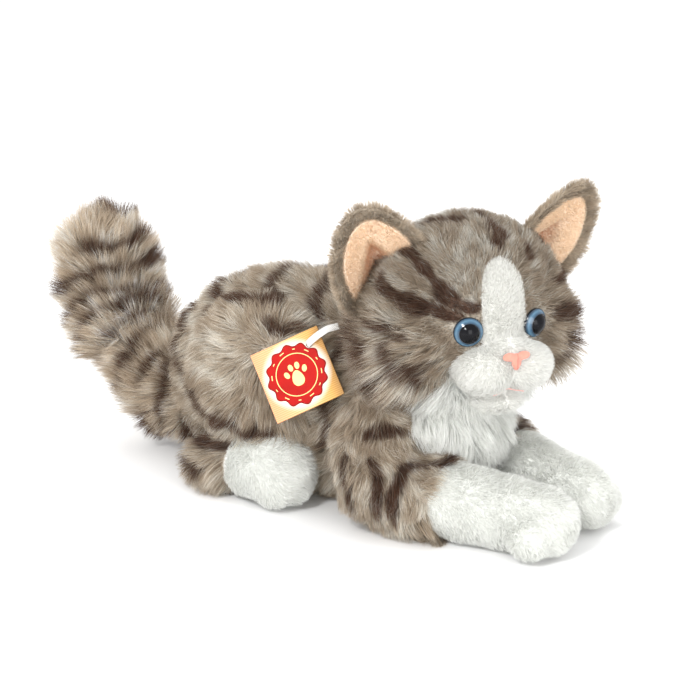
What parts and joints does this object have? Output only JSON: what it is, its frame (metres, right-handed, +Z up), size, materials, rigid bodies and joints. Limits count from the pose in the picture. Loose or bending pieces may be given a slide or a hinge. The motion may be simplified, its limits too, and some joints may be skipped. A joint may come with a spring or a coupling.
{
  "type": "plush cat",
  "caption": "Lying plush tabby kitten with sewn-on head, legs and curled tail, blue safety eyes, folding ears and a folded card swing tag on a loop.",
  "frame": {"origin": "on the ground under the middle of the toy's bounding box", "axes": "+X from the tail to the forepaws, +Y to the kitten's left, +Z up"},
  "size_m": [0.3741, 0.1396, 0.1774],
  "materials": {
    "tabby_plush": "long greige plush with dark brown tabby stripes",
    "white_plush": "white plush",
    "peach_plush": "very short peach plush",
    "pink_felt": "flocked pink",
    "pink_thread": "twisted embroidery thread",
    "fibre_filling": "loose polyester fibre",
    "blue_eye": "polished blue",
    "black_eye": "polished black",
    "washer_plastic": "natural moulded",
    "loop_plastic": "translucent",
    "tag_card": "coated card"
  },
  "bodies": {
    "torso": {"torso_cover": "tabby_plush", "belly_panel": "tabby_plush", "torso_stuffing": "fibre_filling", "chest_bib": "white_plush"},
    "neck": {"neck_stuffing": "fibre_filling"},
    "head": {"head_cover": "tabby_plush", "face_blaze": "white_plush", "muzzle_cover": "white_plush", "head_stuffing": "fibre_filling", "chin": "white_plush", "nose": "pink_felt", "mouth_thread": "pink_thread", "eye_right": "blue_eye", "eye_left": "blue_eye", "pupil_right": "black_eye", "pupil_left": "black_eye", "eye_washer_right": "washer_plastic", "eye_washer_left": "washer_plastic"},
    "ear_right": {"ear_outer_right": "tabby_plush", "ear_lining_right": "peach_plush"},
    "ear_left": {"ear_outer_left": "tabby_plush", "ear_lining_left": "peach_plush"},
    "foreleg_right": {"foreleg_cover_right": "tabby_plush", "forepaw_cover_right": "white_plush", "foreleg_stuffing_right": "fibre_filling"},
    "foreleg_left": {"foreleg_cover_left": "tabby_plush", "forepaw_cover_left": "white_plush", "foreleg_stuffing_left": "fibre_filling"},
    "hindleg_right": {"hindleg_cover_right": "tabby_plush", "hindpaw_cover_right": "white_plush", "hindleg_stuffing_right": "fibre_filling"},
    "hindleg_left": {"hindleg_cover_left": "tabby_plush", "hindpaw_cover_left": "white_plush", "hindleg_stuffing_left": "fibre_filling"},
    "tail_base": {"tail_base_cover": "tabby_plush", "tail_base_stuffing": "fibre_filling"},
    "tail_tip": {"tail_tip_cover": "tabby_plush", "tail_tip_stuffing": "fibre_filling"},
    "tag": {"tag_front_leaf": "tag_card", "tag_back_leaf": "tag_card", "tag_loop": "loop_plastic"}
  },
  "joints": [
    {"name": "head_turn", "type": "hinge", "parent": "torso", "child": "neck", "pos_m": [0.095, 0, 0.084], "axis": [0, 0, 1], "range_deg": [-20, 20], "stiffness_Nm_per_rad": 0.8},
    {"name": "head_nod", "type": "hinge", "parent": "neck", "child": "head", "pos_m": [0.095, 0, 0.084], "axis": [0.454, 0.891, 0], "range_deg": [-4, 8], "stiffness_Nm_per_rad": 2},
    {"name": "ear_right_fold", "type": "hinge", "parent": "head", "child": "ear_right", "pos_m": [0.0714, -0.0419, 0.147], "axis": [0.6525, 0.6494, 0.3906], "range_deg": [-20, 20], "stiffness_Nm_per_rad": 0.02},
    {"name": "ear_left_fold", "type": "hinge", "parent": "head", "child": "ear_left", "pos_m": [0.115, 0.0437, 0.147], "axis": [0.1419, 0.9096, -0.3906], "range_deg": [-20, 20], "stiffness_Nm_per_rad": 0.02},
    {"name": "foreleg_right_lift", "type": "hinge", "parent": "torso", "child": "foreleg_right", "pos_m": [0.069, -0.038, 0.058], "axis": [0, -1, 0], "range_deg": [0, 15], "stiffness_Nm_per_rad": 0.4},
    {"name": "foreleg_left_lift", "type": "hinge", "parent": "torso", "child": "foreleg_left", "pos_m": [0.069, 0.038, 0.058], "axis": [0, -1, 0], "range_deg": [0, 15], "stiffness_Nm_per_rad": 0.4},
    {"name": "hindleg_right_swing", "type": "hinge", "parent": "torso", "child": "hindleg_right", "pos_m": [-0.013, -0.034, 0.069], "axis": [0, -1, 0], "range_deg": [0, 15], "stiffness_Nm_per_rad": 0.4},
    {"name": "hindleg_left_swing", "type": "hinge", "parent": "torso", "child": "hindleg_left", "pos_m": [-0.013, 0.034, 0.069], "axis": [0, -1, 0], "range_deg": [0, 15], "stiffness_Nm_per_rad": 0.4},
    {"name": "tail_lift", "type": "hinge", "parent": "torso", "child": "tail_base", "pos_m": [-0.082, 0, 0.038], "axis": [0, 1, 0], "range_deg": [-5, 20], "stiffness_Nm_per_rad": 1.5},
    {"name": "tail_curl", "type": "hinge", "parent": "tail_base", "child": "tail_tip", "pos_m": [-0.124, 0.001, 0.05], "axis": [0, 1, 0], "range_deg": [-20, 20], "stiffness_Nm_per_rad": 0.5},
    {"name": "tag_swing", "type": "hinge", "parent": "torso", "child": "tag", "pos_m": [0.042, -0.037, 0.106], "axis": [-1, 0, 0], "range_deg": [0, 60]}
  ]
}
